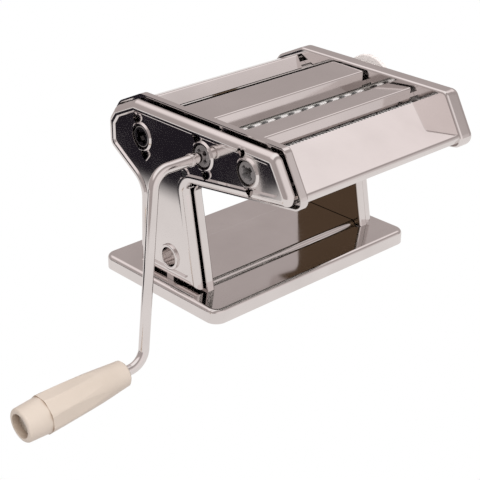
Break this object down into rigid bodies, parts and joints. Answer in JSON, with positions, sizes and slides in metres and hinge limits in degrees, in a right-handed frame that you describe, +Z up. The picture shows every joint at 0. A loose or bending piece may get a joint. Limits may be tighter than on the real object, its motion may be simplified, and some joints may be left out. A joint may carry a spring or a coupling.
{
  "type": "pasta roller machine",
  "caption": "Hand-cranked pasta machine: smooth rollers with an adjustable gap and two noodle cutters between chromed side frames on a flat base, with a bent crank.",
  "frame": {"origin": "centre of the base in the plane its feet stand on", "axes": "+X along the rollers, away from the crank; -Y to the front panel; +Z up"},
  "size_m": [0.3605, 0.1927, 0.1754],
  "materials": {
    "chrome": "polished",
    "roller_steel": "satin",
    "ivory_plastic": "satin",
    "knob_plastic": "satin",
    "gear_steel": "satin",
    "zinc_steel": "satin",
    "dark_steel": "satin",
    "brass": "satin",
    "spring_steel": "satin",
    "comb_plastic": "matte",
    "rubber": "matte"
  },
  "bodies": {
    "machine": {"base_tray": "chrome", "rubber_feet": "rubber", "left_frame": "chrome", "right_frame": "chrome", "left_cover": "chrome", "right_cover": "chrome", "rear_plate": "chrome", "middle_step_plate": "chrome", "front_step_plate": "chrome", "front_panel": "chrome", "tie_rods": "zinc_steel", "tie_rod_nuts": "zinc_steel", "cover_screws": "dark_steel", "base_screws": "zinc_steel", "left_bushes": "brass", "right_bushes": "brass", "smooth_scraper": "comb_plastic", "wide_comb": "comb_plastic", "narrow_comb": "comb_plastic", "knob_detent_ring": "zinc_steel", "left_clamp_socket": "chrome", "right_clamp_socket": "chrome"},
    "smooth_fixed": {"smooth_roller_fixed": "roller_steel", "smooth_fixed_gear": "gear_steel"},
    "gap_carriage": {"left_gap_block": "zinc_steel", "right_gap_block": "zinc_steel"},
    "smooth_adjustable": {"smooth_roller_adjustable": "roller_steel", "smooth_adjustable_gear": "gear_steel"},
    "wide_driver": {"wide_cutter_driver": "roller_steel", "wide_driver_gear": "gear_steel"},
    "wide_mate": {"wide_cutter_mate": "roller_steel", "wide_mate_gear": "gear_steel"},
    "narrow_driver": {"narrow_cutter_driver": "roller_steel", "narrow_driver_gear": "gear_steel"},
    "narrow_mate": {"narrow_cutter_mate": "roller_steel", "narrow_mate_gear": "gear_steel"},
    "regulator": {"regulator_shaft": "zinc_steel", "left_gap_cam": "zinc_steel", "right_gap_cam": "zinc_steel", "shaft_screw": "zinc_steel", "knob_spring": "spring_steel"},
    "knob": {"regulator_knob": "knob_plastic", "knob_cap": "knob_plastic", "knob_detent_pin": "zinc_steel"},
    "crank": {"crank_rod": "chrome", "crank_pin": "dark_steel", "crank_collar": "chrome", "grip_retainer": "zinc_steel"},
    "grip": {"crank_grip": "ivory_plastic"}
  },
  "joints": [
    {"name": "smooth_roller_spin", "type": "hinge", "parent": "machine", "child": "smooth_fixed", "pos_m": [0, 0.0245, 0.1138], "axis": [1, 0, 0], "continuous": true},
    {"name": "wide_cutter_spin", "type": "hinge", "parent": "machine", "child": "wide_driver", "pos_m": [0, -0.0405, 0.1183], "axis": [1, 0, 0], "continuous": true},
    {"name": "narrow_cutter_spin", "type": "hinge", "parent": "machine", "child": "narrow_driver", "pos_m": [0, -0.0843, 0.1198], "axis": [1, 0, 0], "continuous": true},
    {"name": "regulator_turn", "type": "hinge", "parent": "machine", "child": "regulator", "pos_m": [0, -0.02186, 0.12151], "axis": [1, 0, 0], "range_deg": [0, 300]},
    {"name": "roller_gap", "type": "slide", "parent": "machine", "child": "gap_carriage", "axis": [0, -0.9865, 0.164], "range_m": [0, 0.0022]},
    {"name": "smooth_mate_spin", "type": "hinge", "parent": "gap_carriage", "child": "smooth_adjustable", "pos_m": [0, -0.00065, 0.11798], "axis": [1, 0, 0], "continuous": true},
    {"name": "wide_mate_spin", "type": "hinge", "parent": "machine", "child": "wide_mate", "pos_m": [0, -0.058, 0.1183], "axis": [1, 0, 0], "continuous": true},
    {"name": "narrow_mate_spin", "type": "hinge", "parent": "machine", "child": "narrow_mate", "pos_m": [0, -0.09909, 0.11396], "axis": [1, 0, 0], "continuous": true},
    {"name": "knob_pull", "type": "slide", "parent": "regulator", "child": "knob", "axis": [1, 0, 0], "range_m": [0, 0.0035], "stiffness_N_per_m": 900, "springref_m": -0.002, "deforming": ["knob_spring"]},
    {"name": "crank_pull", "type": "slide", "parent": "wide_driver", "child": "crank", "axis": [-1, 0, 0], "range_m": [0, 0.025]},
    {"name": "grip_spin", "type": "hinge", "parent": "crank", "child": "grip", "pos_m": [-0.20143, -0.04754, -0.01613], "axis": [-0.9986, -0.0027, -0.0523], "continuous": true}
  ],
  "couplings": [
    {"joint": "regulator_turn", "follows": "roller_gap", "rad_per_m": 2379.8},
    {"joint": "smooth_mate_spin", "follows": "smooth_roller_spin", "ratio": -1},
    {"joint": "wide_mate_spin", "follows": "wide_cutter_spin", "ratio": -1},
    {"joint": "narrow_mate_spin", "follows": "narrow_cutter_spin", "ratio": -1}
  ]
}
